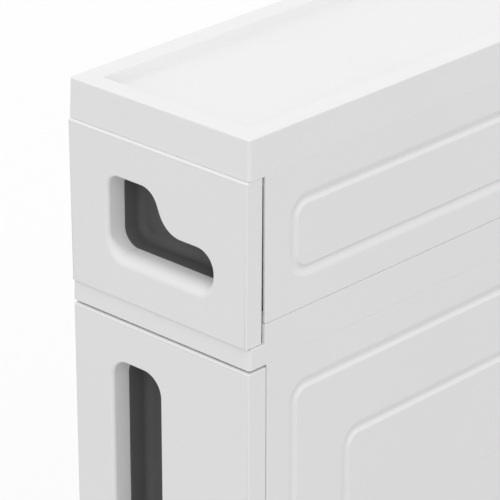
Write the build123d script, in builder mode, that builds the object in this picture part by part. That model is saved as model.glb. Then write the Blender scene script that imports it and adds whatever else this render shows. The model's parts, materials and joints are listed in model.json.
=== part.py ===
from build123d import *
import os
from math import atan, degrees

os.makedirs("parts", exist_ok=True)

# Slim storage trolley in moulded plastic: a small drawer over two tall ones, on four casters.
# Millimetres. +X right, the drawers open towards -Y, +Z up, the floor is Z = 0.

# Overall sizes and the stack of layers, from the floor up
overall_width = 126.0
overall_depth = 380.0
caster_height = 50.0
base_rail = 23.5
tall_opening = 301.0
shelf_rail = 11.5
small_opening = 89.8
cap_height = 21.7

# Boards
board_wall = 2.4
board_plate = 2.4
rail_draft = 0.5
skirt_rise = 10.8
board_corner = 2.0
runner_height = 1.5
runner_width = 2.4
runner_inset = 9.0
runner_ends = 4.0

# Tray in the top board
cap_draft = 0.6
cap_edge = 0.8
tray_rim_side = 12.2
tray_rim_front = 11.4
tray_depth = 6.9
tray_slope = 2.6
tray_corner = 1.6
tray_lip = 1.0
tray_floor_radius = 1.2

# Side and back panels
panel_wall = 3.2
back_wall = 2.6
seam_chamfer = 0.3
tongue_wall = 1.8
tongue_gap = 0.2
tongue_reach = 6.0
tongue_root = 6.0
panel_gap = 0.2

# Ring grooves pressed into the side panels
ring_inset_y = 32.0
ring_top_margin = 20.7
ring_bottom_margin = 20.4
ring_corner = 9.0
ring_step = 40.5
groove_width = 6.8
groove_depth = 1.2

# Drawer fronts
front_plate = 2.6
front_wall = 2.2
front_top_inset = 0.5
front_taper = 0.7
front_edge = 1.4
front_corner = 1.1
front_foot_gap = 0.3
collar_depth = 12.4
collar_wall = 1.8
lip_radius = 3.4
boss_radius = 3.6
boss_inset_x = 12.0
boss_inset_z = 12.5
small_face_proud = 1.7
tall_face_proud = 0.5
small_front_depth = 11.2
tall_front_depth = 12.3
small_seam = 1.0
tall_seam = 0.5
small_air = 0.4
tall_air = 1.6

# Hand hole of the small drawer, from its centre line and down from the opening's top
hole_left = -35.6
hole_right = 37.9
hole_top = 23.2
hole_bottom = 65.2
hole_step = 45.0
hole_neck_top = -4.3
hole_neck_bottom = 4.5
hole_radii = [8.0, 10.3, 15.0, 10.0, 9.0, 10.5]

# Slot of a tall drawer
slot_width = 34.8
slot_left = -35.5
slot_top = 25.1
slot_foot = 25.0
slot_corner = 11.0

# Grey cups behind the hand holes
cup_wall = 1.6
cup_back = 25.4
cup_flange = 5.0
cup_fillet = 3.2
cup_gap = 0.2

# Drawer boxes
tub_wall = 1.8
tub_corner = 7.0
tub_floor_radius = 3.0
rim_out = 1.2
rim_height = 5.0
side_clearance = 0.8
running_gap = 0.3
tub_back_gap = 1.4
tub_top_gap = 5.0
drawer_travel = 280.0
stop_gap = 0.5
stop_overlap = 3.0
stop_length = 9.0
stop_width = 2.4

# Screws that hold a front to its box
screw_radius = 1.5
screw_length = 8.0
screw_head_radius = 3.0
screw_head_height = 2.0
screw_head_round = 1.0
screw_hole_gap = 0.2

# Casters
wheel_radius = 19.0
wheel_width = 15.0
tread_thickness = 3.5
tread_round = 2.4
web_width = 5.0
hub_radius = 5.5
hub_width = 16.4
spoke_count = 6
spoke_width = 1.6
spoke_inset = 1.5
spoke_root = 0.5
axle_radius = 2.5
axle_gap = 0.05
axle_head_radius = 4.2
axle_head = 1.4
axle_head_round = 0.7
fork_width = 25.0
fork_slot = 17.0
fork_eye = 8.5
fork_crown = 12.5
fork_round = 1.6
wheel_air = 2.2
trail = 14.0
stem_radius = 4.0
stem_gap = 0.05
stem_rise = 18.0
stem_sunk = 5.0
stem_tip = 1.0
socket_wall = 2.0
socket_flange = 3.0
socket_lip = 1.2
swivel_gap = 0.3
boss_wall = 2.4
caster_inset_x = 25.0
caster_inset_front = 45.0
caster_inset_back = 50.0
rib_wall = 1.8
rib_depth = 14.0

# Levels of the stack
base_top = caster_height + base_rail
shelf_2_bottom = base_top + tall_opening
shelf_2_top = shelf_2_bottom + shelf_rail
shelf_1_bottom = shelf_2_top + tall_opening
shelf_1_top = shelf_1_bottom + shelf_rail
cap_bottom = shelf_1_top + small_opening
overall_height = cap_bottom + cap_height

# Places shared by the casing and the drawers
half_width = overall_width / 2
back = overall_depth / 2
rail_front = -overall_depth / 2 + small_face_proud
tongue_outer = half_width - board_wall - tongue_gap
tongue_inner = tongue_outer - tongue_wall
rim_half = tongue_inner - side_clearance
tub_half = rim_half - rim_out
tub_back = back - board_wall - tongue_gap - tongue_wall - tub_back_gap - rim_out
lip_back = rail_front + board_wall

# Each layer: the opening's floor and ceiling, how far its drawer's face stands before the
# rail, how deep the front's sides return, the seam behind them and the air above the front
small = dict(proud=small_face_proud, depth=small_front_depth, seam=small_seam, air=small_air)
tall = dict(proud=tall_face_proud, depth=tall_front_depth, seam=tall_seam, air=tall_air)
layers = {
    1: dict(low=shelf_1_top, high=cap_bottom, **small),
    2: dict(low=shelf_2_top, high=shelf_1_bottom, **tall),
    3: dict(low=base_top, high=shelf_2_bottom, **tall),
}
for layer in layers.values():
    layer["face"] = rail_front - layer["proud"]
    layer["tub_front"] = layer["face"] + layer["depth"]
    layer["panel_front"] = layer["tub_front"] + layer["seam"]
    layer["panel_foot"] = layer["low"] + skirt_rise


def save(piece, name):
    piece.part.label = name
    export_step(piece.part, f"parts/{name}.step")


def facing_front(y):
    """Plane at depth y seen from the front: local x is X and local y is Z."""
    return Plane.XZ.offset(-y)


# Top board: a shallow tray with a raised rim, hollow underneath
def make_top_board():
    span = back - rail_front
    middle = (back + rail_front) / 2
    tray_length = span - 2 * tray_rim_front
    tray_width = overall_width - 2 * cap_draft - 2 * tray_rim_side
    slope = degrees(atan(tray_slope / tray_depth))
    with BuildPart() as board:
        with BuildSketch(Plane.XY.offset(cap_bottom)):
            with Locations((0, middle - cap_draft / 2)):
                RectangleRounded(overall_width, span + cap_draft, board_corner)
        extrude(amount=cap_height, taper=degrees(atan(cap_draft / cap_height)))
        fillet(board.faces().sort_by(Axis.Z)[-1].edges(), radius=cap_edge)
        with BuildSketch(Plane.XY.offset(overall_height)):
            with Locations((0, middle)):
                Rectangle(tray_width, tray_length)
        extrude(amount=-tray_depth, taper=slope, mode=Mode.SUBTRACT)
        sloping_corners = board.edges(Select.LAST).filter_by(Plane.XY, reverse=True)
        fillet(sloping_corners, radius=tray_corner)
        tray_floor = board.faces().filter_by(Axis.Z).sort_by(Axis.Z)[-2]
        fillet(tray_floor.edges(), radius=tray_floor_radius)
        rim_top = board.faces().filter_by(Axis.Z).sort_by(Axis.Z)[-1]
        fillet(rim_top.inner_wires()[0].edges(), radius=tray_lip)
        with BuildSketch(Plane.XY.offset(cap_bottom)):
            with Locations((0, middle)):
                Rectangle(overall_width - 2 * board_wall, span - 2 * board_wall)
        extrude(amount=cap_height - tray_depth - board_plate, mode=Mode.SUBTRACT)
        with BuildSketch(Plane.XY.offset(cap_bottom)):
            with Locations((0, middle)):
                Rectangle(overall_width - 2 * board_wall - 2 * cap_draft, span - 2 * board_wall)
                tray_outside = 2 * board_wall
                Rectangle(tray_width + tray_outside, tray_length + tray_outside, mode=Mode.SUBTRACT)
        extrude(amount=cap_height - board_plate, mode=Mode.SUBTRACT)
    return board


# Shelf or base board: front rail, skirts at the sides and back, a plate with two runners
def make_board(bottom, rail_height, layer):
    rail_top = bottom + rail_height
    skirt_front = layer["panel_front"]
    foot_front = rail_front - rail_draft
    with BuildPart() as board:
        with BuildSketch(Plane.YZ.offset(-half_width)):
            with BuildLine():
                Polyline(
                    (foot_front, bottom), (back, bottom), (back, rail_top), (rail_front, rail_top), close=True
                )
            make_face()
        extrude(amount=overall_width)
        front_face = board.faces().sort_by(Axis.Y)[0]
        fillet(front_face.edges().filter_by(Axis.X, reverse=True), radius=board_corner)
        with BuildSketch(Plane.XY.offset(bottom)):
            with Locations((0, (skirt_front + back) / 2)):
                Rectangle(overall_width, back - skirt_front)
        extrude(amount=rail_height + skirt_rise)
        back_corners = board.edges().filter_by(Axis.Z).group_by(Axis.Y)[-1]
        fillet(back_corners, radius=board_corner)
        with BuildSketch(Plane.XY.offset(rail_top)):
            with Locations((0, (skirt_front + back - board_wall) / 2)):
                Rectangle(overall_width - 2 * board_wall, back - board_wall - skirt_front)
        extrude(amount=skirt_rise, mode=Mode.SUBTRACT)
        with BuildSketch(Plane.XY.offset(bottom)):
            with Locations((0, (lip_back + back - board_wall) / 2)):
                Rectangle(overall_width - 2 * board_wall, back - board_wall - lip_back)
        extrude(amount=rail_height - board_plate, mode=Mode.SUBTRACT)
        runner_back = tub_back - runner_ends
        runner_front = layer["tub_front"] + runner_ends
        with BuildSketch(Plane.XY.offset(rail_top)):
            with Locations((0, (runner_front + runner_back) / 2)):
                with GridLocations(2 * (tub_half - runner_inset), 0, 2, 1):
                    Rectangle(runner_width, runner_back - runner_front)
        extrude(amount=runner_height)
    return board


caster_places = {
    "front_left": (-(half_width - caster_inset_x), rail_front + caster_inset_front),
    "front_right": (half_width - caster_inset_x, rail_front + caster_inset_front),
    "back_left": (-(half_width - caster_inset_x), back - caster_inset_back),
    "back_right": (half_width - caster_inset_x, back - caster_inset_back),
}
socket_bore = stem_radius + stem_gap
socket_outer = socket_bore + socket_wall
socket_depth = stem_rise + swivel_gap


# Base board: a deeper board with ribs and a boss over each caster
def make_base_board():
    board = make_board(caster_height, base_rail, layers[3])
    plate_underside = base_top - board_plate
    front_y = rail_front + caster_inset_front
    back_y = back - caster_inset_back
    inner_width = overall_width - 2 * board_wall
    with BuildPart() as base:
        add(board.part)
        with BuildSketch(Plane.XY.offset(plate_underside)):
            Rectangle(rib_wall, back_y - front_y)
            with Locations((0, front_y), (0, 0), (0, back_y)):
                Rectangle(inner_width, rib_wall)
        extrude(amount=-rib_depth)
        with BuildSketch(Plane.XY.offset(plate_underside)):
            with Locations(*caster_places.values()):
                Circle(socket_outer + boss_wall)
        extrude(amount=caster_height - plate_underside)
        with BuildSketch(Plane.XY.offset(caster_height)):
            with Locations(*caster_places.values()):
                Circle(socket_outer)
        extrude(amount=socket_depth, mode=Mode.SUBTRACT)
    return base


# Side panel: skin, a tongue into the board above and the board below, ring grooves outside
def make_side_panel(layer, side, rings):
    low = layer["panel_foot"]
    high = layer["high"]
    front = layer["panel_front"]
    outside = Plane.YZ.offset(side * half_width)
    bar_radius = (groove_width**2 / 4 + groove_depth**2) / (2 * groove_depth)
    bar_x = side * (half_width + bar_radius - groove_depth)
    with BuildPart() as panel:
        with BuildSketch(outside):
            with Locations(((front + back) / 2, (low + high) / 2)):
                Rectangle(back - front, high - low)
        extrude(amount=-side * panel_wall)
        outer_face = panel.faces().sort_by(Axis.X)[-1 if side > 0 else 0]
        chamfer(outer_face.edges().filter_by(Axis.Y), length=seam_chamfer)
        back_edge = panel.edges().filter_by(Axis.Z).group_by(Axis.Y)[-1]
        fillet(back_edge.sort_by(Axis.X)[-1 if side > 0 else 0], radius=board_corner)
        tongue_back = back - board_wall - tongue_gap
        tongue_front = front + tongue_gap
        with BuildSketch(Plane.YZ.offset(side * tongue_outer)):
            for edge_z in (low, high):
                with Locations(((tongue_front + tongue_back) / 2, edge_z)):
                    Rectangle(tongue_back - tongue_front, tongue_reach + tongue_root)
        extrude(amount=-side * tongue_wall)
        for step in rings:
            ring_low = low + ring_bottom_margin + step
            ring_high = high - ring_top_margin - step
            ring_front = rail_front + ring_inset_y + step
            ring_back = back - ring_inset_y - step
            with BuildLine(Plane.YZ.offset(bar_x)) as ring:
                FilletPolyline(
                    (ring_front, ring_low),
                    (ring_back, ring_low),
                    (ring_back, ring_high),
                    (ring_front, ring_high),
                    radius=ring_corner,
                    close=True,
                )
            with BuildSketch(Plane(origin=ring.line @ 0, z_dir=ring.line % 0)):
                Circle(bar_radius)
            sweep(path=ring.line, mode=Mode.SUBTRACT)
    return panel


# Back panel: stands between the side panels, with the same tongues
def make_back_panel(layer):
    low = layer["panel_foot"]
    high = layer["high"]
    width = 2 * (half_width - panel_wall - panel_gap)
    tongue_width = 2 * (tongue_inner - panel_gap)
    with BuildPart() as panel:
        with BuildSketch(facing_front(back)):
            with Locations((0, (low + high) / 2)):
                Rectangle(width, high - low)
        extrude(amount=back_wall)
        chamfer(panel.faces().sort_by(Axis.Y)[-1].edges().filter_by(Axis.X), length=seam_chamfer)
        with BuildSketch(facing_front(back - board_wall - tongue_gap)):
            for edge_z in (low, high):
                with Locations((0, edge_z)):
                    Rectangle(tongue_width, tongue_reach + tongue_root)
        extrude(amount=tongue_wall)
    return panel


# Outline of the hand hole: an L with an S-shaped neck, or an upright slot
def make_hole(layer):
    top = layer["high"]
    with BuildSketch() as hole:
        if layer is layers[1]:
            with BuildLine():
                FilletPolyline(
                    (hole_left, top - hole_top),
                    (hole_neck_top, top - hole_top),
                    (hole_neck_bottom, top - hole_step),
                    (hole_right, top - hole_step),
                    (hole_right, top - hole_bottom),
                    (hole_left, top - hole_bottom),
                    radius=hole_radii,
                    close=True,
                )
            make_face()
        else:
            slot_high = top - slot_top
            slot_low = layer["low"] + slot_foot
            with Locations((slot_left + slot_width / 2, (slot_high + slot_low) / 2)):
                RectangleRounded(slot_width, slot_high - slot_low, slot_corner)
    return hole.sketch


def screw_places(layer):
    """Centres of the four screws, as X and Z."""
    x = tub_half - boss_inset_x
    low = layer["low"] + runner_height + running_gap + boss_inset_z
    high = layer["high"] - tub_top_gap - boss_inset_z
    return [(-x, low), (x, low), (-x, high), (x, high)]


# Drawer front: a dished plate with returned sides, a collar round the hole and screw bosses
def make_front(layer, hole):
    low = layer["low"] + front_foot_gap
    high = layer["high"] - layer["air"]
    top_half = half_width - front_top_inset
    foot_half = top_half - front_taper
    rear = layer["tub_front"]
    inside = layer["face"] + front_plate
    with BuildPart() as front:
        with BuildSketch(facing_front(layer["face"])) as outline:
            with BuildLine():
                Polyline(
                    (-foot_half, low), (foot_half, low), (top_half, high), (-top_half, high), close=True
                )
            make_face()
            fillet(outline.vertices().group_by(Axis.Y)[-1], radius=front_corner)
        extrude(amount=-layer["depth"])
        face_edges = front.faces().sort_by(Axis.Y)[0].edges()
        fillet(face_edges.sort_by(Axis.Z)[1:], radius=front_edge)
        with BuildSketch(facing_front(rear)):
            add(outline.sketch_local)
            offset(amount=-front_wall)
        extrude(amount=rear - inside, mode=Mode.SUBTRACT)
        with BuildSketch(facing_front(inside)):
            add(hole)
            offset(amount=collar_wall)
        extrude(amount=-(collar_depth - front_plate))
        with BuildSketch(facing_front(inside)):
            with Locations(*screw_places(layer)):
                Circle(boss_radius)
        extrude(amount=-(rear - inside))
        with BuildSketch(facing_front(rear)):
            with Locations(*screw_places(layer)):
                Circle(screw_radius)
        extrude(amount=rear - inside, mode=Mode.SUBTRACT)
        with BuildSketch(facing_front(layer["face"])):
            add(hole)
        extrude(amount=-collar_depth, mode=Mode.SUBTRACT)
        face = front.faces().sort_by(Axis.Y)[0]
        fillet(face.inner_wires()[0].edges(), radius=lip_radius)
    return front


# Grey cup: closes the hand hole from behind and reaches into the drawer box
def make_cup(layer, hole):
    mouth = layer["face"] + collar_depth
    cup_end = layer["face"] + cup_back
    flange_front = layer["tub_front"] + tub_wall
    with BuildPart() as cup:
        with BuildSketch(facing_front(mouth)):
            add(hole)
            offset(amount=cup_wall)
        extrude(amount=-(cup_end + cup_wall - mouth))
        fillet(cup.faces().sort_by(Axis.Y)[-1].edges(), radius=cup_fillet)
        with BuildSketch(facing_front(flange_front)):
            add(hole)
            offset(amount=cup_flange)
        extrude(amount=-cup_wall)
        with BuildSketch(facing_front(mouth)):
            add(hole)
        extrude(amount=-(cup_end - mouth), mode=Mode.SUBTRACT)
        floor = cup.faces().filter_by(Axis.Y).sort_by(Axis.Y)[-2]
        fillet(floor.edges(), radius=cup_fillet)
    return cup


# Drawer box: a deep tub with a thick rim and two stops that catch the rail above
def make_tub(layer, hole):
    floor_z = layer["low"] + runner_height + running_gap
    rim_z = layer["high"] - tub_top_gap
    front = layer["tub_front"]
    stop_front = lip_back + drawer_travel + stop_gap
    stop_top = layer["high"] + stop_overlap
    with BuildPart() as tub:
        with BuildSketch(Plane.XY.offset(floor_z)):
            with Locations((0, (front + tub_back) / 2)):
                RectangleRounded(2 * tub_half, tub_back - front, tub_corner)
        extrude(amount=rim_z - floor_z)
        fillet(tub.faces().sort_by(Axis.Z)[0].edges(), radius=tub_floor_radius)
        offset(amount=-tub_wall, openings=tub.faces().sort_by(Axis.Z)[-1])
        with BuildSketch(Plane.XY.offset(rim_z)):
            with Locations((0, (front + tub_back + rim_out) / 2)):
                RectangleRounded(2 * rim_half, tub_back + rim_out - front, tub_corner)
            with Locations((0, (front + tub_back) / 2)):
                RectangleRounded(
                    2 * (tub_half - tub_wall),
                    tub_back - front - 2 * tub_wall,
                    tub_corner - tub_wall,
                    mode=Mode.SUBTRACT,
                )
        extrude(amount=-rim_height)
        for side in (-1, 1):
            with BuildSketch(Plane.YZ.offset(side * tub_half)):
                with BuildLine():
                    Polyline(
                        (stop_front, rim_z - rim_height / 2),
                        (stop_front, stop_top),
                        (stop_front + stop_length / 3, stop_top),
                        (stop_front + stop_length, rim_z - rim_height / 2),
                        close=True,
                    )
                make_face()
            extrude(amount=-side * stop_width)
        with BuildSketch(facing_front(front)):
            add(hole)
            offset(amount=collar_wall + cup_gap)
        extrude(amount=-tub_wall, mode=Mode.SUBTRACT)
        with BuildSketch(facing_front(front)):
            with Locations(*screw_places(layer)):
                Circle(screw_radius + screw_hole_gap)
        extrude(amount=-tub_wall, mode=Mode.SUBTRACT)
    return tub


# Pan head screws, driven from inside the box into the front's bosses
def make_screws(layer):
    seat = layer["tub_front"] + tub_wall
    with BuildPart() as screws:
        with BuildSketch(facing_front(seat)):
            with Locations(*screw_places(layer)):
                Circle(screw_head_radius)
        extrude(amount=-screw_head_height)
        chamfer(screws.faces().sort_by(Axis.Y)[-4:].edges(), length=screw_head_round)
        with BuildSketch(facing_front(seat)):
            with Locations(*screw_places(layer)):
                Circle(screw_radius)
        extrude(amount=screw_length)
    return screws


# Caster socket: a flanged sleeve pushed up into the base board's boss
def make_socket(x, y):
    with BuildPart() as socket:
        with BuildSketch(Plane.XY.offset(caster_height - socket_lip)):
            with Locations((x, y)):
                Circle(socket_outer + socket_flange)
        extrude(amount=socket_lip)
        with BuildSketch(Plane.XY.offset(caster_height)):
            with Locations((x, y)):
                Circle(socket_outer)
        extrude(amount=socket_depth)
        with BuildSketch(Plane.XY.offset(caster_height - socket_lip)):
            with Locations((x, y)):
                Circle(socket_bore)
        extrude(amount=socket_lip + socket_depth, mode=Mode.SUBTRACT)
    return socket


fork_top = caster_height - socket_lip - swivel_gap


# Caster fork: two cheeks under a crown, trailing behind the stem
def make_fork(x, y):
    slot_high = 2 * wheel_radius + wheel_air
    axle_y = y + trail
    with BuildPart() as fork:
        with BuildSketch(Plane.YZ.offset(x)):
            with BuildLine():
                Line((y - fork_crown, fork_top), (y + fork_crown, fork_top))
                Line((y - fork_crown, slot_high), (y - fork_crown, fork_top))
                Line((y + fork_crown, slot_high), (y + fork_crown, fork_top))
                CenterArc((axle_y, wheel_radius), fork_eye, 0, 360)
            make_hull()
        extrude(amount=fork_width / 2, both=True)
        outside = fork.faces().filter_by(Axis.X)
        fillet(outside.edges(), radius=fork_round)
        with BuildSketch(Plane.XZ.offset(-y)):
            with Locations((x, slot_high / 2)):
                Rectangle(fork_slot, slot_high)
        extrude(amount=overall_depth, both=True, mode=Mode.SUBTRACT)
        with BuildSketch(Plane.YZ.offset(x)):
            with Locations((axle_y, wheel_radius)):
                Circle(axle_radius)
        extrude(amount=fork_width, both=True, mode=Mode.SUBTRACT)
        with BuildSketch(Plane.XY.offset(fork_top)):
            with Locations((x, y)):
                Circle(stem_radius)
        extrude(amount=-stem_sunk, mode=Mode.SUBTRACT)
    return fork


# Steel stem, sunk in the fork's crown, with a rounded tip
def make_stem(x, y):
    foot = fork_top - stem_sunk
    with BuildPart() as stem:
        with BuildSketch(Plane.XY.offset(foot)):
            with Locations((x, y)):
                Circle(stem_radius)
        extrude(amount=caster_height + stem_rise - foot)
        chamfer(stem.faces().sort_by(Axis.Z)[-1].edges(), length=stem_tip)
    return stem


# Axle with a flat head outside each cheek
def make_axle(x, y):
    axle_y = y + trail
    with BuildPart() as axle:
        with BuildSketch(Plane.YZ.offset(x)):
            with Locations((axle_y, wheel_radius)):
                Circle(axle_radius)
        extrude(amount=fork_width / 2 + axle_head, both=True)
        for side in (-1, 1):
            with BuildSketch(Plane.YZ.offset(x + side * fork_width / 2)):
                with Locations((axle_y, wheel_radius)):
                    Circle(axle_head_radius)
            extrude(amount=side * axle_head)
        ends = axle.faces().filter_by(Axis.X)
        tips = [ends.sort_by(Axis.X)[0], ends.sort_by(Axis.X)[-1]]
        chamfer(ShapeList(tips).edges(), length=axle_head_round)
    return axle


# Wheel core: hub, thin web and rim, turned about the axle
def make_wheel(x, y):
    rim_outer = wheel_radius - tread_thickness
    rim_inner = rim_outer - tread_thickness
    bore = axle_radius + axle_gap
    turning = Plane(origin=(x, y + trail, wheel_radius), x_dir=(0, 1, 0), z_dir=(0, 0, -1))
    with BuildPart() as wheel:
        with BuildSketch(turning) as section:
            with BuildLine():
                Polyline(
                    (bore, 0),
                    (bore, hub_width / 2),
                    (hub_radius, hub_width / 2),
                    (hub_radius, web_width / 2),
                    (rim_inner, web_width / 2),
                    (rim_inner, wheel_width / 2),
                    (rim_outer, wheel_width / 2),
                    (rim_outer, 0),
                    close=True,
                )
            make_face()
            mirror(about=Plane.XZ)
        revolve(axis=Axis((x, y + trail, wheel_radius), (1, 0, 0)))
        with BuildSketch(Plane.YZ.offset(x)):
            with Locations((y + trail, wheel_radius)):
                with PolarLocations((hub_radius + rim_inner) / 2, spoke_count):
                    Rectangle(rim_inner - hub_radius + 2 * spoke_root, spoke_width)
        extrude(amount=wheel_width / 2 - spoke_inset, both=True)
    return wheel


# Tyre: a soft ring round the wheel's rim
def make_tyre(x, y):
    with BuildPart() as tyre:
        with BuildSketch(Plane.YZ.offset(x)):
            with Locations((y + trail, wheel_radius)):
                Circle(wheel_radius)
        extrude(amount=wheel_width / 2, both=True)
        fillet(tyre.edges(), radius=tread_round)
        with BuildSketch(Plane.YZ.offset(x)):
            with Locations((y + trail, wheel_radius)):
                Circle(wheel_radius - tread_thickness)
        extrude(amount=wheel_width, both=True, mode=Mode.SUBTRACT)
    return tyre


# Casing
save(make_top_board(), "top_board")
save(make_board(shelf_1_bottom, shelf_rail, layers[1]), "shelf_board_1")
save(make_board(shelf_2_bottom, shelf_rail, layers[2]), "shelf_board_2")
save(make_base_board(), "base_board")
for number, layer in layers.items():
    rings = (0,) if number == 1 else (0, ring_step)
    save(make_side_panel(layer, -1, rings), f"side_panel_left_{number}")
    save(make_side_panel(layer, 1, rings), f"side_panel_right_{number}")
    save(make_back_panel(layer), f"back_panel_{number}")

# Drawers
for number, layer in layers.items():
    hole = make_hole(layer)
    save(make_front(layer, hole), f"drawer_front_{number}")
    save(make_cup(layer, hole), f"handle_cup_{number}")
    save(make_tub(layer, hole), f"drawer_box_{number}")
    save(make_screws(layer), f"front_screws_{number}")

# Casters
for place, (x, y) in caster_places.items():
    save(make_socket(x, y), f"caster_socket_{place}")
    save(make_fork(x, y), f"caster_fork_{place}")
    save(make_stem(x, y), f"caster_stem_{place}")
    save(make_axle(x, y), f"caster_axle_{place}")
    save(make_wheel(x, y), f"caster_wheel_{place}")
    save(make_tyre(x, y), f"caster_tyre_{place}")
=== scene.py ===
import json
import math

import bpy
import bmesh
from mathutils import Matrix, Vector


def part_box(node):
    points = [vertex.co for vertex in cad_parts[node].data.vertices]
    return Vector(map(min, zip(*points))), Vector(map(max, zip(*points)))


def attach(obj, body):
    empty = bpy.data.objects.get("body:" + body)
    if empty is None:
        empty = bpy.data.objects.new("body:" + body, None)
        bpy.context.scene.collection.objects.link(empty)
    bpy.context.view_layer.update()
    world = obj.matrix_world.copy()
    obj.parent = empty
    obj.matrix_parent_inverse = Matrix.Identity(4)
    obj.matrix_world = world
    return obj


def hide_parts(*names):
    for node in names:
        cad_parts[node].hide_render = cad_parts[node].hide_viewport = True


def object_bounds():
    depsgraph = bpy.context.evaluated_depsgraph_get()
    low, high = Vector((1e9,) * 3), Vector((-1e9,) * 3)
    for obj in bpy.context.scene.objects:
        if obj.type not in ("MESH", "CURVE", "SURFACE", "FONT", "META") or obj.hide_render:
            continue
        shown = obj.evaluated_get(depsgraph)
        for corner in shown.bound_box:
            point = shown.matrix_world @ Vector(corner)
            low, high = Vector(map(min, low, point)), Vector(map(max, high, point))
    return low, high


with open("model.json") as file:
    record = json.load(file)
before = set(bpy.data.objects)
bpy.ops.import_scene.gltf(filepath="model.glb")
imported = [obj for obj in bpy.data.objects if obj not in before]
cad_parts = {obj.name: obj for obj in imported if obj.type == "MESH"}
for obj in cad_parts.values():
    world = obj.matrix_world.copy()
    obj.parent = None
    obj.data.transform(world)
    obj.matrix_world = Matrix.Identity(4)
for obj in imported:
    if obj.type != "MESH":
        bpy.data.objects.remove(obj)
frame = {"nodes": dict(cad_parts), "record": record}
cadLow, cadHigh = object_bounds()  # the CAD box, before anything is dressed
nodes = frame["nodes"]
scene = bpy.context.scene
mm = 0.001
print("frame loaded,", len(nodes), "nodes")


# Stage: pale floor, even white surroundings, broad soft lights from above and from the front corner

stage = dict(
    floorRadius=9.0,
    floorShown=(0.97, 0.97, 0.97),  # what the camera sees
    floorBounce=(0.50, 0.50, 0.50),  # what it throws back on the trolley
    surround=0.875,
    lights=dict(
        soft_top_light=dict(energy=0.36, spread=70.0, tilt=(18.0, -8.0, 0.0)),
        soft_front_light=dict(energy=0.42, spread=45.0, tilt=(72.0, 0.0, 49.0)),
    ),
)


def buildFloor():
    mesh = bpy.data.meshes.new("studio_floor")
    bm = bmesh.new()
    bmesh.ops.create_circle(bm, cap_ends=True, radius=stage["floorRadius"], segments=96)
    bm.to_mesh(mesh)
    bm.free()
    floor = bpy.data.objects.new("studio_floor", mesh)
    scene.collection.objects.link(floor)
    mat = bpy.data.materials.new("studioFloor")
    mat.use_nodes = True
    tree = mat.node_tree
    shader = tree.nodes["Principled BSDF"]
    shader.inputs["Roughness"].default_value = 0.9
    shader.inputs["Specular IOR Level"].default_value = 0.0
    path = tree.nodes.new("ShaderNodeLightPath")
    mix = tree.nodes.new("ShaderNodeMix")
    mix.data_type = "RGBA"
    mix.inputs["A"].default_value = (*stage["floorBounce"], 1)
    mix.inputs["B"].default_value = (*stage["floorShown"], 1)
    tree.links.new(path.outputs["Is Camera Ray"], mix.inputs["Factor"])
    tree.links.new(mix.outputs["Result"], shader.inputs["Base Color"])
    floor.data.materials.append(mat)


def buildSurround():
    world = bpy.data.worlds.new("studio")
    scene.world = world
    world.use_nodes = True
    tree = world.node_tree
    back = tree.nodes["Background"]
    back.inputs["Color"].default_value = (1, 1, 1, 1)
    path = tree.nodes.new("ShaderNodeLightPath")
    either = tree.nodes.new("ShaderNodeMath")
    either.operation = "MAXIMUM"
    tree.links.new(path.outputs["Is Camera Ray"], either.inputs[0])
    tree.links.new(path.outputs["Is Glossy Ray"], either.inputs[1])
    also = tree.nodes.new("ShaderNodeMath")
    also.operation = "MAXIMUM"
    tree.links.new(either.outputs[0], also.inputs[0])
    tree.links.new(path.outputs["Is Transmission Ray"], also.inputs[1])
    level = tree.nodes.new("ShaderNodeMapRange")
    level.inputs["To Min"].default_value = stage["surround"]
    level.inputs["To Max"].default_value = 1.0
    tree.links.new(also.outputs[0], level.inputs["Value"])
    tree.links.new(level.outputs["Result"], back.inputs["Strength"])


def buildLights():
    for name, values in stage["lights"].items():
        lamp = bpy.data.lights.new(name, "SUN")
        lamp.energy = values["energy"]
        lamp.angle = math.radians(values["spread"])
        holder = bpy.data.objects.new(name, lamp)
        holder.rotation_euler = [math.radians(turn) for turn in values["tilt"]]
        holder.location = (0, 0, 2)
        scene.collection.objects.link(holder)


# Camera: solved from the straight edges of the photograph, placed from the tray's near corner

shot = dict(
    fromCorner=(0.9968, -1.0509, 0.5895),
    rimDraft=0.6 * mm,
    azimuth=43.475,
    elevation=24.059,
    lens=235.3,
    sensor=36.0,
)


def buildCamera():
    low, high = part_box("top_board")
    corner = Vector((high.x - shot["rimDraft"], low.y + shot["rimDraft"], high.z))
    data = bpy.data.cameras.new("photo_camera")
    data.lens = shot["lens"]
    data.sensor_width = shot["sensor"]
    data.clip_start = 0.05
    data.clip_end = 40
    camera = bpy.data.objects.new("photo_camera", data)
    camera.location = corner + Vector(shot["fromCorner"])
    camera.rotation_euler = (math.radians(90 - shot["elevation"]), 0, math.radians(shot["azimuth"]))
    scene.collection.objects.link(camera)
    scene.camera = camera


buildFloor()
buildSurround()
buildLights()
buildCamera()
scene.view_settings.view_transform = "Standard"
print("stage, light and camera in place")


# Shared surface effects, each a node group that puts out masks and heights


def newGroup(name, inputs, outputs):
    group = bpy.data.node_groups.new(name, "ShaderNodeTree")
    for label, value in inputs.items():
        socket = group.interface.new_socket(label, in_out="INPUT", socket_type="NodeSocketFloat")
        socket.default_value = value
    for label in outputs:
        group.interface.new_socket(label, in_out="OUTPUT", socket_type="NodeSocketFloat")
    entry = group.nodes.new("NodeGroupInput")
    leave = group.nodes.new("NodeGroupOutput")
    return group, entry, leave


def addMath(tree, operation, first, second):
    node = tree.nodes.new("ShaderNodeMath")
    node.operation = operation
    for socket, value in zip(node.inputs, (first, second)):
        if isinstance(value, (int, float)):
            socket.default_value = value
        else:
            tree.links.new(value, socket)
    return node.outputs[0]


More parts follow.
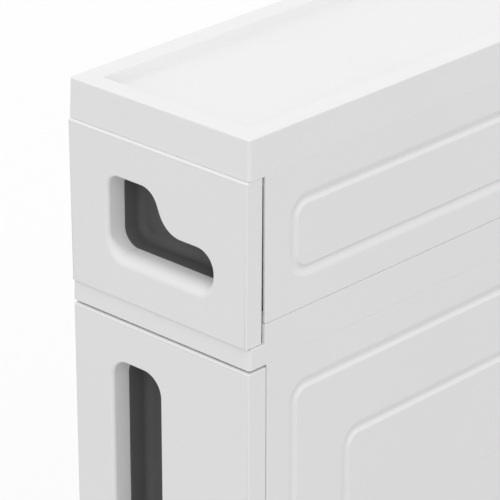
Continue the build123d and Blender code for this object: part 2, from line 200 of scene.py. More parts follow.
def addNoise(tree, where, scale, detail=2.0, roughness=0.5, distortion=0.0):
    noise = tree.nodes.new("ShaderNodeTexNoise")
    noise.inputs["Detail"].default_value = detail
    noise.inputs["Roughness"].default_value = roughness
    noise.inputs["Distortion"].default_value = distortion
    tree.links.new(where, noise.inputs["Vector"])
    if isinstance(scale, (int, float)):
        noise.inputs["Scale"].default_value = scale
    else:
        tree.links.new(scale, noise.inputs["Scale"])
    return noise.outputs["Fac"]


def addRange(tree, value, low, high, toLow=0.0, toHigh=1.0):
    node = tree.nodes.new("ShaderNodeMapRange")
    node.inputs["From Min"].default_value = low
    node.inputs["From Max"].default_value = high
    node.inputs["To Min"].default_value = toLow
    node.inputs["To Max"].default_value = toHigh
    tree.links.new(value, node.inputs["Value"])
    return node.outputs["Result"]


# fine spark-eroded grain of a moulding tool, with slow drifts in shade and gloss
def buildMouldGrain():
    group, entry, leave = newGroup(
        "mouldGrain", {"Grain per metre": 1600.0, "Drift per metre": 14.0}, ("Height", "Drift", "Gloss")
    )
    where = group.nodes.new("ShaderNodeTexCoord").outputs["Object"]
    fine = addNoise(group, where, entry.outputs["Grain per metre"], 3.0, 0.6)
    pits = group.nodes.new("ShaderNodeTexVoronoi")
    pits.feature = "SMOOTH_F1"
    group.links.new(where, pits.inputs["Vector"])
    coarser = addMath(group, "MULTIPLY", entry.outputs["Grain per metre"], 0.55)
    group.links.new(coarser, pits.inputs["Scale"])
    pitted = addMath(group, "ADD", fine, addMath(group, "MULTIPLY", pits.outputs["Distance"], 0.5))
    group.links.new(pitted, leave.inputs["Height"])
    group.links.new(addNoise(group, where, entry.outputs["Drift per metre"]), leave.inputs["Drift"])
    faster = addMath(group, "MULTIPLY", entry.outputs["Drift per metre"], 9.0)
    group.links.new(addNoise(group, where, faster, 4.0, 0.5, 0.6), leave.inputs["Gloss"])
    return group


# long shallow waves where the plastic shrank as it cooled
def buildSinkWaves():
    group, entry, leave = newGroup("sinkWaves", {"Waves per metre": 16.0}, ("Height",))
    where = group.nodes.new("ShaderNodeTexCoord").outputs["Object"]
    slow = addNoise(group, where, entry.outputs["Waves per metre"], 1.0, 0.4)
    group.links.new(slow, leave.inputs["Height"])
    return group


# rubs and hairline scratches from hands and goods, as a mask
def buildHandling():
    group, entry, leave = newGroup("handling", {"Amount": 0.5, "Scratches per metre": 220.0}, ("Mask",))
    where = group.nodes.new("ShaderNodeTexCoord").outputs["Object"]
    squeeze = group.nodes.new("ShaderNodeMapping")
    squeeze.inputs["Scale"].default_value = (1.0, 0.12, 1.0)
    squeeze.inputs["Rotation"].default_value = (0.3, 0.2, 0.5)
    group.links.new(where, squeeze.inputs["Vector"])
    lines = addNoise(group, squeeze.outputs["Vector"], entry.outputs["Scratches per metre"], 2.0, 0.7, 1.2)
    thin = addRange(group, lines, 0.60, 0.68)
    patches = addRange(group, addNoise(group, where, 22.0, 2.0), 0.45, 0.7)
    group.links.new(
        addMath(group, "MULTIPLY", addMath(group, "MULTIPLY", thin, patches), entry.outputs["Amount"]),
        leave.inputs["Mask"],
    )
    return group


# a breath of dust on what faces up, as a patchy film with specks in it
def buildDust():
    group, entry, leave = newGroup("settledDust", {"Amount": 0.3, "Specks per metre": 900.0}, ("Mask",))
    where = group.nodes.new("ShaderNodeTexCoord").outputs["Object"]
    facing = group.nodes.new("ShaderNodeNewGeometry").outputs["Normal"]
    split = group.nodes.new("ShaderNodeSeparateXYZ")
    group.links.new(facing, split.inputs[0])
    upward = addRange(group, split.outputs["Z"], 0.75, 0.98)
    film = addRange(group, addNoise(group, where, 30.0, 3.0), 0.35, 0.75)
    specks = addRange(group, addNoise(group, where, entry.outputs["Specks per metre"], 1.0), 0.70, 0.78)
    both = addMath(group, "MAXIMUM", addMath(group, "MULTIPLY", film, 0.5), specks)
    lying = addMath(group, "MULTIPLY", both, upward)
    group.links.new(addMath(group, "MULTIPLY", lying, entry.outputs["Amount"]), leave.inputs["Mask"])
    return group


mouldGrain = buildMouldGrain()
sinkWaves = buildSinkWaves()
handling = buildHandling()
settledDust = buildDust()


def newMaterial(name):
    mat = bpy.data.materials.new(name)
    mat.use_nodes = True
    return mat, mat.node_tree, mat.node_tree.nodes["Principled BSDF"]


def placeGroup(tree, group, values):
    node = tree.nodes.new("ShaderNodeGroup")
    node.node_tree = group
    for label, value in values.items():
        node.inputs[label].default_value = value
    return node


def mixColour(tree, factor, first, second):
    mix = tree.nodes.new("ShaderNodeMix")
    mix.data_type = "RGBA"
    tree.links.new(factor, mix.inputs["Factor"])
    for socket, value in ((mix.inputs["A"], first), (mix.inputs["B"], second)):
        if isinstance(value, tuple):
            socket.default_value = (*value, 1)
        else:
            tree.links.new(value, socket)
    return mix.outputs["Result"]


def addBump(tree, height, strength, distance, before=None):
    bump = tree.nodes.new("ShaderNodeBump")
    bump.inputs["Strength"].default_value = strength
    bump.inputs["Distance"].default_value = distance
    tree.links.new(height, bump.inputs["Height"])
    if before is not None:
        tree.links.new(before, bump.inputs["Normal"])
    return bump.outputs["Normal"]


def placeGrain(tree, look):
    values = {"Grain per metre": look["grain"], "Drift per metre": look["drift"]}
    return placeGroup(tree, mouldGrain, values)


# how much duller a full rub or a full film of dust makes the surface
dulling = dict(rubs=0.12, dust=0.3, steelRubs=0.2)


# drifting shade, patchy gloss, moulding grain, sink waves, rubs and dust
def mouldedPlastic(look):
    mat, tree, shader = newMaterial(look["name"])
    grain = placeGrain(tree, look)
    waves = placeGroup(tree, sinkWaves, {"Waves per metre": look["waves"]})
    rubs = placeGroup(tree, handling, {"Amount": look["rubs"]})
    dust = placeGroup(tree, settledDust, {"Amount": look["dust"]})
    shade = mixColour(tree, grain.outputs["Drift"], look["low"], look["high"])
    rubbed = mixColour(tree, rubs.outputs["Mask"], shade, look["rubbed"])
    dusted = mixColour(tree, dust.outputs["Mask"], rubbed, look["dustShade"])
    tree.links.new(dusted, shader.inputs["Base Color"])
    gloss = addRange(tree, grain.outputs["Gloss"], 0.0, 1.0, *look["gloss"])
    dulled = addMath(tree, "ADD", gloss, addMath(tree, "MULTIPLY", rubs.outputs["Mask"], dulling["rubs"]))
    dusty = addMath(tree, "ADD", dulled, addMath(tree, "MULTIPLY", dust.outputs["Mask"], dulling["dust"]))
    tree.links.new(dusty, shader.inputs["Roughness"])
    waved = addBump(tree, waves.outputs["Height"], look["waveBump"], look["waveDepth"])
    bumped = addBump(tree, grain.outputs["Height"], look["bump"], look["depth"], waved)
    tree.links.new(bumped, shader.inputs["Normal"])
    shader.inputs["IOR"].default_value = 1.49
    return mat


whiteLook = dict(
    name="whitePlastic", low=(0.845, 0.845, 0.845), high=(0.875, 0.875, 0.875), grain=1700.0, drift=11.0,
    gloss=(0.42, 0.54), bump=0.30, depth=0.00004, waves=15.0, waveBump=0.25, waveDepth=0.0006,
    rubs=0.25, rubbed=(0.80, 0.80, 0.80), dust=0.10, dustShade=(0.72, 0.71, 0.70),
)
boxLook = dict(
    name="boxPlastic", low=(0.79, 0.795, 0.795), high=(0.83, 0.835, 0.835), grain=900.0, drift=9.0,
    gloss=(0.28, 0.40), bump=0.25, depth=0.00004, waves=12.0, waveBump=0.3, waveDepth=0.0008,
    rubs=0.7, rubbed=(0.70, 0.70, 0.70), dust=0.25, dustShade=(0.62, 0.61, 0.60),
)
cupLook = dict(
    name="cupPlastic", low=(0.103, 0.103, 0.1035), high=(0.125, 0.125, 0.1255), grain=1500.0, drift=25.0,
    gloss=(0.66, 0.80), bump=0.5, depth=0.00005, waves=25.0, waveBump=0.2, waveDepth=0.0004,
    rubs=0.4, rubbed=(0.15, 0.15, 0.15), dust=0.25, dustShade=(0.24, 0.24, 0.235),
)
nylonLook = dict(
    name="casterNylon", low=(0.70, 0.70, 0.69), high=(0.76, 0.76, 0.75), grain=2200.0, drift=40.0,
    gloss=(0.35, 0.5), bump=0.4, depth=0.00004, waves=40.0, waveBump=0.2, waveDepth=0.0003,
    rubs=0.8, rubbed=(0.58, 0.58, 0.57), dust=0.5, dustShade=(0.45, 0.44, 0.42),
)
treadLook = dict(
    name="softTread", low=(0.20, 0.20, 0.205), high=(0.27, 0.27, 0.275), grain=1200.0, drift=60.0,
    gloss=(0.55, 0.72), bump=0.6, depth=0.00008, waves=60.0, waveBump=0.2, waveDepth=0.0003,
    rubs=1.0, rubbed=(0.36, 0.355, 0.345), dust=0.6, dustShade=(0.38, 0.37, 0.36),
)
whitePlastic = mouldedPlastic(whiteLook)
boxPlastic = mouldedPlastic(boxLook)
cupPlastic = mouldedPlastic(cupLook)
casterNylon = mouldedPlastic(nylonLook)
softTread = mouldedPlastic(treadLook)

steelLook = dict(
    name="zincSteel", low=(0.50, 0.51, 0.52), high=(0.66, 0.67, 0.68), grain=2600.0, drift=90.0,
    gloss=(0.24, 0.42), bump=0.25, depth=0.00003, rubs=0.8, rubbed=(0.40, 0.40, 0.41), scratches=600.0,
)


def zincSteel(look):
    mat, tree, shader = newMaterial(look["name"])
    grain = placeGrain(tree, look)
    rubs = placeGroup(tree, handling, {"Amount": look["rubs"], "Scratches per metre": look["scratches"]})
    shade = mixColour(tree, grain.outputs["Drift"], look["low"], look["high"])
    rubbed = mixColour(tree, rubs.outputs["Mask"], shade, look["rubbed"])
    tree.links.new(rubbed, shader.inputs["Base Color"])
    shader.inputs["Metallic"].default_value = 1.0
    gloss = addRange(tree, grain.outputs["Gloss"], 0.0, 1.0, *look["gloss"])
    duller = addMath(tree, "MULTIPLY", rubs.outputs["Mask"], dulling["steelRubs"])
    dulled = addMath(tree, "ADD", gloss, duller)
    tree.links.new(dulled, shader.inputs["Roughness"])
    bumped = addBump(tree, grain.outputs["Height"], look["bump"], look["depth"])
    tree.links.new(bumped, shader.inputs["Normal"])
    return mat


steel = zincSteel(steelLook)

finishes = {
    "white_plastic": whitePlastic,
    "drawer_plastic": boxPlastic,
    "grey_cup": cupPlastic,
    "caster_plastic": casterNylon,
    "tread": softTread,
    "steel": steel,
}
slotOf = {entry["node"]: entry["material_slot"] for entry in frame["record"]["subparts"]}
for name, node in nodes.items():
    node.data.materials.clear()
    node.data.materials.append(finishes[slotOf[name]])
print("finishes made and given to the CAD nodes")


# Mesh helpers: points are written in millimetres


def boxOf(node):
    low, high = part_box(node)
    return low / mm, high / mm


# closed path with rounded corners: each entry is a point and its outward direction
def roundedPath(corners, radii, arcSteps=8):
    count = len(corners)
    corners = [Vector(corner) for corner in corners]
    area = 0.0
    for i in range(count):
        here, there = corners[i], corners[(i + 1) % count]
        area += here.x * there.y - there.x * here.y
    around = 1 if area > 0 else -1
    path = []
    for i, here in enumerate(corners):
        along = (here - corners[i - 1]).normalized()
        onward = (corners[(i + 1) % count] - here).normalized()
        side = 1 if along.x * onward.y - along.y * onward.x > 0 else -1
        angle = along.angle(onward)
        start = here - along * radii[i] * math.tan(angle / 2)
        centre = start + Vector((-along.y, along.x)) * radii[i] * side
        for step in range(arcSteps + 1):
            spoke = Matrix.Rotation(side * angle * step / arcSteps, 2) @ (start - centre)
            path.append((centre + spoke, spoke.normalized() * side * around))
    return path


def rectanglePath(x0, x1, y0, y1, radius, arcSteps=8):
    return roundedPath([(x0, y0), (x1, y0), (x1, y1), (x0, y1)], [radius] * 4, arcSteps)


def addLoop(bm, points):
    return [bm.verts.new(Vector(point) * mm) for point in points]


def joinLoops(bm, first, second):
    for i in range(len(first)):
        j = (i + 1) % len(first)
        bm.faces.new((first[i], first[j], second[j], second[i]))


def loftRows(bm, rows):
    loops = [addLoop(bm, row) for row in rows]
    for first, second in zip(loops, loops[1:]):
        joinLoops(bm, first, second)
    return loops


# angles from nought to a quarter turn, or to another whole
def quarterTurns(steps, whole=math.pi / 2):
    return [whole * step / steps for step in range(steps + 1)]


# a circle that faces the front, centred on a screw
def roundRow(x, y, z, radius, count=24):
    turns = [math.tau * i / count for i in range(count)]
    return [(x + radius * math.cos(t), y, z + radius * math.sin(t)) for t in turns]


def fillBetween(bm, normal, *loops):
    edges = []
    for loop in loops:
        for i, vert in enumerate(loop):
            after = loop[(i + 1) % len(loop)]
            edges.append(bm.edges.get((vert, after)) or bm.edges.new((vert, after)))
    bmesh.ops.triangle_fill(bm, use_beauty=True, use_dissolve=False, edges=edges, normal=normal)


def finishPiece(mesh, name, body, slot, replaced, sharpAngle=38.0):
    mesh.shade_smooth()
    mesh.set_sharp_from_angle(angle=math.radians(sharpAngle))
    mesh.materials.clear()
    mesh.materials.append(finishes[slot])
    piece = bpy.data.objects.new(name, mesh)
    scene.collection.objects.link(piece)
    weigh = piece.modifiers.new("weighted_normals", "WEIGHTED_NORMAL")
    weigh.keep_sharp = True
    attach(piece, body)
    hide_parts(*replaced)
    return piece


def closeMesh(bm, name):
    bmesh.ops.recalc_face_normals(bm, faces=bm.faces)
    mesh = bpy.data.meshes.new(name)
    bm.to_mesh(mesh)
    bm.free()
    return mesh


soften = dict(merge=0.004, flat=0.4, sharp=40.0, segments=2)  # millimetres, degrees


# a CAD node's own shape, with its sharp edges softened as a moulding's are
def softenedPiece(node, body, name, width):
    mesh = nodes[node].data.copy()
    for attribute in ("custom_normal", "sharp_edge", "sharp_face"):
        if attribute in mesh.attributes:
            mesh.attributes.remove(mesh.attributes[attribute])
    bm = bmesh.new()
    bm.from_mesh(mesh)
    bmesh.ops.remove_doubles(bm, verts=bm.verts, dist=soften["merge"] * mm)
    flat = math.radians(soften["flat"])
    bmesh.ops.dissolve_limit(bm, angle_limit=flat, verts=bm.verts, edges=bm.edges)
    bm.to_mesh(mesh)
    bm.free()
    piece = finishPiece(mesh, name, body, slotOf[node], (node,))
    bevel = piece.modifiers.new("soft_edges", "BEVEL")
    bevel.width = width * mm
    bevel.segments = soften["segments"]
    bevel.limit_method = "ANGLE"
    bevel.angle_limit = math.radians(soften["sharp"])
    bevel.miter_outer = "MITER_ARC"
    bevel.harden_normals = False
    piece.modifiers.move(1, 0)  # the bevel comes before the weighted normals


# Tray cap: rim, sloping inner wall, floor, and the hollow under it, in one skin

tray = dict(
    draft=0.6, footRound=0.18, topRound=0.9, corner=2.0, wall=2.4, rimSide=12.2, rimFront=11.4,
    depth=6.9, slope=1.5, trayCorner=1.6, lip=0.8, floorRound=0.9, plate=2.4, steps=5, footSteps=3,
    footEdge=0.15, hollowCorner=0.6, wellCorner=0.8,
)


def buildTray():
    low, high = boxOf("top_board")
    middle = (high.y + low.y + tray["draft"]) / 2
    halfX = high.x - tray["draft"] - tray["rimSide"]
    halfY = (high.y - low.y - tray["draft"]) / 2 - tray["rimFront"]
    steps = tray["steps"]

    def level(points, z):
        return [(p.x, p.y, z) for p, n in points]

    def outer(inset, z, radius):
        left, right, near, far = low.x + inset, high.x - inset, low.y + inset, high.y - inset
        return level(rectanglePath(left, right, near, far, radius, 6), z)

    def inner(grow, z, radius):
        near, far = middle - halfY - grow, middle + halfY + grow
        return level(rectanglePath(-halfX - grow, halfX + grow, near, far, radius, 6), z)

    rows = []
    foot = tray["footRound"]
    for turn in quarterTurns(tray["footSteps"]):
        rows.append(outer(foot * (1 - math.sin(turn)), low.z + foot * (1 - math.cos(turn)), tray["corner"]))
    edge = tray["topRound"]
    for turn in quarterTurns(steps):
        inset = tray["draft"] + edge * (1 - math.cos(turn))
        rows.append(outer(inset, high.z - edge * (1 - math.sin(turn)), tray["corner"]))
    lip = tray["lip"]
    lean = math.atan(tray["slope"] / tray["depth"])
    for turn in quarterTurns(steps, math.pi / 2 - lean):
        grow = lip * (math.tan((math.pi / 2 - lean) / 2) - math.sin(turn))
        rows.append(inner(grow, high.z - lip * (1 - math.cos(turn)), tray["trayCorner"] + max(grow, 0)))
    nook = tray["floorRound"]
    reach = nook * math.tan((math.pi / 2 - lean) / 2)
    floorZ = high.z - tray["depth"]
    for step in range(steps + 1):
        turn = (math.pi / 2 - lean) * (1 - step / steps)
        shrink = -tray["slope"] - reach + nook * math.sin(turn)
        rows.append(inner(shrink, floorZ + nook * (1 - math.cos(turn)), tray["trayCorner"]))
    bm = bmesh.new()
    loops = loftRows(bm, rows)
    bm.faces.new(loops[-1])
    wall, footEdge = tray["wall"], tray["footEdge"]
    under = [
        outer(wall - footEdge, low.z, tray["hollowCorner"]),
        outer(wall, low.z + footEdge, tray["hollowCorner"]),
        outer(wall + tray["draft"], high.z - tray["plate"], tray["hollowCorner"]),
        inner(wall, high.z - tray["plate"], tray["wellCorner"]),
        inner(wall, floorZ - tray["plate"], tray["wellCorner"]),
    ]
    lower = loftRows(bm, under)
    bm.faces.new(lower[-1])
    joinLoops(bm, loops[0], lower[0])
    finishPiece(closeMesh(bm, "tray_cap"), "tray_cap", "casing", "white_plastic", ("top_board",))


buildTray()
print("tray cap made")


# Side panels: a skin with rolled edges, pressed grooves and two tongues

panel = dict(
    wall=3.2, tongueWall=1.8, tongueHeight=12.0, tongueGap=0.2, tongueEdge=0.25, tongueCorner=0.5,
    boardWall=2.4, backRound=2.0, frontRound=0.6, seamRound=0.12, corner=0.3, arcSteps=10,
    frontLand=1.5, frontStep=1.5, behindStep=2.0, rollDepths=(1.1, 0.8, 0.6, 0.4, 0.22, 0.1, 0.03, 0.0),
    ringInset=32.0, ringBottom=20.4, ringTop=20.7, ringStep=40.5, ringCorner=9.5,
    grooveDepth=1.25, outerShoulder=4.6, innerShoulder=-2.8, deepest=-0.3, grooveSteps=8,
    smallBack=0.3, smallSeam=0.3, tallSeam=0.08,
)


# across a groove from outside in: how far from its line, and how deep
def grooveProfile():
    count, depth = panel["grooveSteps"], panel["grooveDepth"]
    outer, deepest, inner = panel["outerShoulder"], panel["deepest"], panel["innerShoulder"]
    profile = []
    for i in range(count + 1):
        share = i / count
        profile.append((outer + (deepest - outer) * share, depth * (1 - math.cos(math.pi * share)) / 2))
    for i in range(1, count + 1):
        share = i / count
        profile.append((deepest + (inner - deepest) * share, depth * (1 + math.cos(math.pi * share)) / 2))
    return profile


def buildSidePanel(number, word, side, rings):
    node = f"side_panel_{word}_{number}"
    low, high = boxOf(node)
    outside = side * cadHigh.x / mm
    half = panel["tongueHeight"] / 2
    foot, top = low.z + half, high.z - half
    front, back = low.y + (panel["smallBack"] if number == 1 else 0.0), high.y
    footGap = panel["smallSeam"] if number == 1 else panel["tallSeam"]  # the seam over the board's skirt
    railFront = boxOf("top_board")[0].y + tray["draft"]

    def place(points, drop):
        return [(outside - side * drop, p[0], p[1]) for p in points]

    # how far an edge of the given radius stands in at this depth
    def rollIn(radius, depth):
        if depth >= radius:
            return 0.0
        return radius - math.sqrt(radius**2 - (radius - depth) ** 2)

    # the front edge is thin, and behind it the skin steps back
    def sheet(depth):
        seam = rollIn(panel["seamRound"], depth)
        setBack = panel["frontStep"] if depth > panel["frontLand"] else 0.0
        points = rectanglePath(
            front + rollIn(panel["frontRound"], depth) + setBack,
            back - rollIn(panel["backRound"], depth),
            foot + seam + footGap,
            top - seam,
            panel["corner"],
            panel["arcSteps"],
        )
        return place([p for p, n in points], depth)

    bm = bmesh.new()
    land = panel["frontLand"]
    rows = [sheet(depth) for depth in (panel["wall"], panel["behindStep"], land + 0.01, land)]
    rows += [sheet(depth) for depth in panel["rollDepths"]]
    for step in rings:
        ring = rectanglePath(
            railFront + panel["ringInset"] + step,
            back - panel["ringInset"] - step,
            foot + panel["ringBottom"] + step,
            top - panel["ringTop"] - step,
            panel["ringCorner"],
            panel["arcSteps"],
        )
        for away, drop in grooveProfile():
            rows.append(place([p + n * away for p, n in ring], drop))
    loops = loftRows(bm, rows)
    bm.faces.new(loops[-1])
    bm.faces.new(loops[0])
    innerX = low.x if side > 0 else high.x
    tongueBack = back - panel["boardWall"] - panel["tongueGap"]
    tongueFront, softening = front + panel["tongueGap"], panel["tongueEdge"]
    levels = [(0.0, softening), (softening, 0.0), (panel["tongueWall"], 0.0)]
    for middle in (foot, top):
        strip = rectanglePath(tongueFront, tongueBack, middle - half, middle + half, panel["tongueCorner"], 3)
        stripRows = [[(innerX + side * rise, *(p - n * inset)) for p, n in strip] for rise, inset in levels]
        ridge = loftRows(bm, stripRows)
        bm.faces.new(ridge[0])
        bm.faces.new(ridge[-1])
    name = f"ringed_wall_{word}_{number}"
    finishPiece(closeMesh(bm, name), name, "casing", "white_plastic", (node,))


for number in (1, 2, 3):
    rings = (0.0,) if number == 1 else (0.0, panel["ringStep"])
    buildSidePanel(number, "left", -1, rings)
    buildSidePanel(number, "right", 1, rings)
print("side panels made")


# Hand holes: an L with a sloping neck, or an upright slot, as seen from the front

hole = dict(
    left=-34.7, right=38.1, top=23.5, bottom=65.2, step=45.3, neckTop=-3.9, neckBottom=5.6,
    radii=(8.0, 10.3, 17.0, 10.0, 9.0, 10.5), slotLeft=-34.8, slotWidth=34.1, slotTop=25.6, slotFoot=25.0,
    slotCorner=11.0, arcSteps=12,
)


def holePath(number, opening):
    low, high = opening
    if number == 1:
        corners = [
            (hole["left"], high - hole["top"]),
            (hole["neckTop"], high - hole["top"]),
            (hole["neckBottom"], high - hole["step"]),
            (hole["right"], high - hole["step"]),
            (hole["right"], high - hole["bottom"]),
            (hole["left"], high - hole["bottom"]),
        ]
        return roundedPath(corners, hole["radii"], hole["arcSteps"])
    left, right = hole["slotLeft"], hole["slotLeft"] + hole["slotWidth"]
    foot, top = low + hole["slotFoot"], high - hole["slotTop"]
    return rectanglePath(left, right, foot, top, hole["slotCorner"], hole["arcSteps"])


def facing(path, y, away=0.0):
    return [(p.x + n.x * away, y, p.y + n.y * away) for p, n in path]


# Drawer fronts: dished plate, returned sides, collar round the hole, four screw bosses

front = dict(
    plate=2.6, wall=2.2, taper=0.7, corner=1.1, footCorner=0.15, innerCorner=0.6, topRound=1.6,
    sideRound=1.1, footRound=0.35, rimEdge=0.3, rimInset=0.12, smallAir=0.4, tallAir=1.6, footGap=0.3,
    smallRaise=0.25, smallShort=1.5, tallShort=0.1, steps=7, arcSteps=6, sharpAngle=44.0,
)
collar = dict(
    lipFoot=6.0, footStretch=1.3, lipLeft=2.2, lipElse=0.6, lipSteps=9, wider=1.3, widerTo=8.5,
    length=11.6, flare=0.8, inRound=0.4, outRound=0.2, tipWall=1.8, tipLength=2.5, rootWall=2.5,
    rootLength=2.0,
)
boss = dict(radius=3.6, bore=1.5, screwHead=3.0, edge=0.2, boreEdge=0.3, boreFoot=0.4)


# the lip is widest along the hole's foot and soft on its left
def lipRoll(n):
    upright = collar["lipFoot"] if n.y < 0 else collar["lipElse"]
    sideways = collar["lipLeft"] if n.x < 0 else collar["lipElse"]
    share = n.y**2
    return sideways * (1 - share) + upright * share


# on its right and top the hole opens towards the hand
def widening(n):
    return collar["wider"] * (max(n.x, 0.0) ** 2 + max(n.y, 0.0) ** 2)


# from the lip's outer edge through the hole, round the collar's tip and back to the plate
def collarRows(path, face, inside):
    flare, length = collar["flare"], collar["length"]
    rows = []
    for turn in quarterTurns(collar["lipSteps"]):
        row = []
        for p, n in path:
            roll = lipRoll(n)
            stretch = 1 + (collar["footStretch"] - 1) * n.y**2 if n.y < 0 else 1.0
            depth = roll * stretch * (1 - math.cos(turn))
            away = roll * (1 - math.sin(turn)) + widening(n) - flare * depth / length
            row.append((p.x + n.x * away, face + depth, p.y + n.y * away))
        rows.append(row)
    rows.append(facing(path, face + collar["widerTo"], -flare * collar["widerTo"] / length))
    end = face + length
    inRound, outRound, tipWall = collar["inRound"], collar["outRound"], collar["tipWall"]
    steps = [
        (end - inRound, -flare),
        (end - inRound * 0.3, inRound * 0.3 - flare),
        (end, inRound - flare),
        (end, tipWall - outRound),
        (end - outRound, tipWall),
        (end - collar["tipLength"], tipWall),
        (inside + collar["rootLength"], collar["rootWall"]),
        (inside, collar["rootWall"]),
    ]
    return rows + [facing(path, y, away) for y, away in steps]


# a tube for a screw, open at the rear
def bossRows(x, z, inside, rear):
    radius, bore, edge = boss["radius"], boss["bore"], boss["edge"]
    steps = [
        (radius, inside),
        (radius, rear - edge),
        (radius - edge, rear),
        (bore + edge, rear),
        (bore, rear - boss["boreEdge"]),
        (bore, inside + boss["boreFoot"]),
    ]
    return [roundRow(x, y, z, r) for r, y in steps]


def openingOf(number):
    low, high = boxOf(f"drawer_front_{number}")
    air = front["smallAir"] if number == 1 else front["tallAir"]
    return low.z - front["footGap"], high.z + air


def buildFront(number):
    low, high = boxOf(f"drawer_front_{number}")
    if number == 1:
        high.z += front["smallRaise"]  # the small front all but meets the cap
    face, rear = low.y, high.y
    inside = face + front["plate"]

    def outline(inset, corner, footCorner):
        topHalf = high.x - inset
        footHalf = topHalf - front["taper"]
        foot, top = low.z + inset, high.z - inset
        corners = [(-footHalf, foot), (footHalf, foot), (topHalf, top), (-topHalf, top)]
        return roundedPath(corners, [footCorner, footCorner, corner, corner], front["arcSteps"])

    edge = outline(0.0, front["corner"], front["footCorner"])

    # the roll of the edge is larger at the top than at the sides, and small at the foot
    def edgeRoll(n):
        other = front["topRound"] if n.y > 0 else front["footRound"]
        return front["sideRound"] + (other - front["sideRound"]) * n.y**2

    bm = bmesh.new()
    rows = []
    for turn in quarterTurns(front["steps"]):
        row = []
        for p, n in edge:
            roll = edgeRoll(n)
            inset = roll * (1 - math.sin(turn))
            row.append((p.x - n.x * inset, face + roll * (1 - math.cos(turn)), p.y - n.y * inset))
        rows.append(row)
    rim = rear - (front["smallShort"] if number == 1 else front["tallShort"])  # leaves a shadow gap
    rows.append(facing(edge, rim - front["rimEdge"]))
    rows.append(facing(edge, rim, -front["rimInset"]))
    inner = outline(front["wall"], front["innerCorner"], front["innerCorner"])
    rows.append(facing(inner, rim))
    rows.append(facing(inner, inside))
    shell = loftRows(bm, rows)
    path = holePath(number, openingOf(number))
    around = loftRows(bm, collarRows(path, face, inside))
    fillBetween(bm, (0, -1, 0), shell[0], around[0])

    screwLow, screwHigh = boxOf(f"front_screws_{number}")
    head = boss["screwHead"]
    bossLoops = []
    for x in (screwLow.x + head, screwHigh.x - head):
        for z in (screwLow.z + head, screwHigh.z - head):
            tube = loftRows(bm, bossRows(x, z, inside, rear))
            bm.faces.new(tube[-1])
            bossLoops.append(tube[0])
    fillBetween(bm, (0, 1, 0), shell[-1], around[-1], *bossLoops)
    name = f"drawer_face_{number}"
    mesh = closeMesh(bm, name)
    replaced = (f"drawer_front_{number}",)
    finishPiece(mesh, name, f"drawer_{number}", "white_plastic", replaced, front["sharpAngle"])


for number in (1, 2, 3):
    buildFront(number)
print("drawer fronts made")


# Grey cups behind the hand holes, with a soft mouth that leaves a thin shadow at the collar

cup = dict(
    wall=1.6, flange=5.0, mouthGap=0.45, mouthRound=0.7, mouthEdge=0.15, fillet=4.4, draft=0.2, steps=9,
    flangeRound=0.3, reach=0.75, smallShallow=2.0, tubWall=1.8,
)


def buildCup(number):
    low, high = boxOf(f"handle_cup_{number}")
    if number == 1:
        high.y -= cup["smallShallow"]
    flangeFront = boxOf(f"drawer_front_{number}")[1].y + cup["tubWall"]
    mouth = low.y - cup["reach"]
    floorY = high.y - cup["wall"]
    narrow = collar["flare"]
    path = holePath(number, openingOf(number))
    fillet = cup["fillet"]
    steps = cup["steps"]
    bm = bmesh.new()
    rows = []
    for step in range(steps + 1):
        turn = math.pi / 2 * (1 - step / steps)
        away = -narrow - cup["draft"] - fillet * (1 - math.cos(turn))
        rows.append(facing(path, floorY - fillet + fillet * math.sin(turn), away))
    wall, flange = cup["wall"], cup["flange"]
    mouthRound, mouthGap, mouthEdge = cup["mouthRound"], cup["mouthGap"], cup["mouthEdge"]
    outside = [
        (mouth + mouthRound, -narrow),
        (mouth + mouthRound * 0.3, mouthGap * 0.4 - narrow),
        (mouth, mouthGap - narrow),
        (mouth, wall - mouthEdge),
        (mouth + mouthEdge, wall),
        (flangeFront, wall),
        (flangeFront, flange - cup["flangeRound"]),
        (flangeFront + cup["flangeRound"], flange),
        (flangeFront + wall, flange),
        (flangeFront + wall, wall),
    ]
    rows += [facing(path, y, away) for y, away in outside]
    for turn in quarterTurns(steps):
        away = wall - fillet * (1 - math.cos(turn))
        rows.append(facing(path, high.y - fillet + fillet * math.sin(turn), away))
    loops = loftRows(bm, rows)
    bm.faces.new(loops[0])
    bm.faces.new(loops[-1])
    name = f"grey_cup_{number}"
    finishPiece(closeMesh(bm, name), name, f"drawer_{number}", "grey_cup", (f"handle_cup_{number}",))


for number in (1, 2, 3):
    buildCup(number)
print("grey cups made")


# Pan head screws with a cross recess, four to a drawer

screw = dict(
    head=3.0, rise=2.0, side=0.8, headRound=1.0, headSteps=5, edge=0.15, edgeRise=0.2, shank=1.5,
    length=8.0, tip=0.5, tipLength=0.8, neck=0.3, threadEnd=0.9, pitch=1.1, threadDepth=0.22, arm=1.7,
    slot=0.42, sink=1.2, narrowing=0.55,
)


# from the tip along the thread to the top of the head: radius and place
def screwProfile(seat):
    shank, head = screw["shank"], screw["head"]
    tip = seat - screw["length"]
    profile = [(screw["tip"], tip)]
    y = tip + screw["tipLength"]
    while y < seat - screw["threadEnd"]:
        profile.append((shank, y))
        profile.append((shank - screw["threadDepth"], y + screw["pitch"] / 2))
        y += screw["pitch"]
    profile += [(shank, seat - screw["neck"]), (shank, seat)]
    profile += [(head - screw["edge"], seat), (head, seat + screw["edgeRise"])]
    for turn in quarterTurns(screw["headSteps"]):
        radius = head - screw["headRound"] * (1 - math.cos(turn))
        profile.append((radius, seat + screw["side"] + (screw["rise"] - screw["side"]) * math.sin(turn)))
    return profile


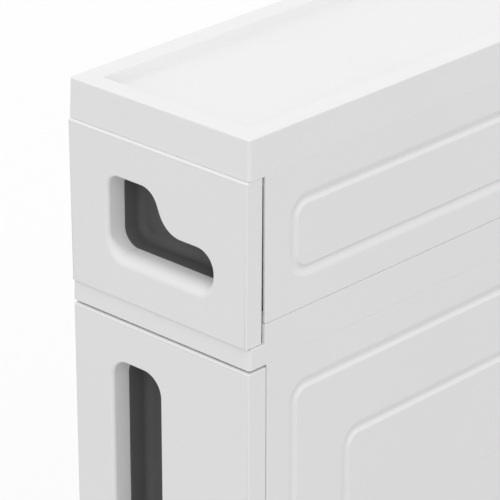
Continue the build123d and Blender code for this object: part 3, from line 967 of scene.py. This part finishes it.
def crossOutline():
    arm, slot = screw["arm"], screw["slot"]
    outline = []
    for quarter in range(4):
        c, s = math.cos(math.pi / 2 * quarter), math.sin(math.pi / 2 * quarter)
        for a, b in ((arm, -slot), (arm, slot), (slot, slot)):
            outline.append((a * c - b * s, a * s + b * c))
    return outline


def buildScrews(number):
    low, high = boxOf(f"front_screws_{number}")
    seat = high.y - screw["rise"]
    head = screw["head"]
    cross = crossOutline()
    narrowing, bottom = screw["narrowing"], high.y - screw["sink"]
    bm = bmesh.new()
    for x in (low.x + head, high.x - head):
        for z in (low.z + head, high.z - head):
            body = loftRows(bm, [roundRow(x, y, z, radius) for radius, y in screwProfile(seat)])
            bm.faces.new(body[0])
            crossRows = [[(x + a, high.y, z + b) for a, b in cross]]
            crossRows.append([(x + a * narrowing, bottom, z + b * narrowing) for a, b in cross])
            recess = loftRows(bm, crossRows)
            bm.faces.new(recess[-1])
            fillBetween(bm, (0, 1, 0), body[-1], recess[0])
    name = f"cross_screws_{number}"
    finishPiece(closeMesh(bm, name), name, f"drawer_{number}", "steel", (f"front_screws_{number}",))


for number in (1, 2, 3):
    buildScrews(number)
print("screws made")


# Boards, back panels and drawer boxes: the CAD shape with moulded edges

softEdges = dict(board=0.2, back=0.3, box=0.35, fork=0.45, socket=0.2, wheel=0.25, axle=0.12)

for number in (1, 2):
    softenedPiece(f"shelf_board_{number}", "casing", f"rail_board_{number}", softEdges["board"])
softenedPiece("base_board", "casing", "caster_board", softEdges["board"])
for number in (1, 2, 3):
    softenedPiece(f"back_panel_{number}", "casing", f"back_wall_{number}", softEdges["back"])
    softenedPiece(f"drawer_box_{number}", f"drawer_{number}", f"drawer_tub_{number}", softEdges["box"])
print("boards, backs and drawer boxes made")


# Casters: soft-edged forks and wheels, and tyres with a crowned tread

tyre = dict(
    thickness=3.5, crown=0.5, shoulder=2.4, shoulderSteps=6, groove=0.35, grooveAt=3.6, grooveHalf=0.45,
    edge=0.2, steps=96, sharpAngle=30.0,
)


def buildTyre(place):
    low, high = boxOf(f"caster_tyre_{place}")
    centre = (low + high) / 2
    outer = (high.z - low.z) / 2
    inner = outer - tyre["thickness"]
    half = (high.x - low.x) / 2
    profile = [(inner, -half + tyre["edge"]), (inner + tyre["edge"], -half)]
    shoulder = tyre["shoulder"]
    for turn in quarterTurns(tyre["shoulderSteps"]):
        radius = outer - tyre["crown"] - shoulder + shoulder * math.sin(turn)
        profile.append((radius, -half + shoulder * (1 - math.cos(turn))))
    at, wide, deep = tyre["grooveAt"], tyre["grooveHalf"], tyre["groove"]

    def crown(x):
        return outer - tyre["crown"] * (x / (half - shoulder)) ** 2

    tread = [-at - wide, -at - wide * 0.5, -at, -at + wide * 0.5, -at + wide, -1.5, 0.0]
    sinks = [0.0, deep * 0.8, deep, deep * 0.8, 0.0, 0.0, 0.0]
    for x, sink in zip(tread, sinks):
        profile.append((crown(x) - sink, x))
    profile += [(radius, -x) for radius, x in reversed(profile[:-1])]
    rows = []
    for i in range(tyre["steps"]):
        turn = math.tau * i / tyre["steps"]
        rows.append([
            (centre.x + x, centre.y + radius * math.sin(turn), centre.z + radius * math.cos(turn))
            for radius, x in profile
        ])
    bm = bmesh.new()
    loops = loftRows(bm, rows)
    joinLoops(bm, loops[-1], loops[0])
    name = f"soft_tyre_{place}"
    mesh = closeMesh(bm, name)
    finishPiece(mesh, name, f"wheel_{place}", "tread", (f"caster_tyre_{place}",), tyre["sharpAngle"])


for place in ("front_left", "front_right", "back_left", "back_right"):
    softenedPiece(f"caster_fork_{place}", f"caster_{place}", f"fork_{place}", softEdges["fork"])
    softenedPiece(f"caster_socket_{place}", "casing", f"socket_{place}", softEdges["socket"])
    softenedPiece(f"caster_wheel_{place}", f"wheel_{place}", f"wheel_core_{place}", softEdges["wheel"])
    softenedPiece(f"caster_axle_{place}", f"caster_{place}", f"axle_pin_{place}", softEdges["axle"])
    buildTyre(place)
print("casters made")
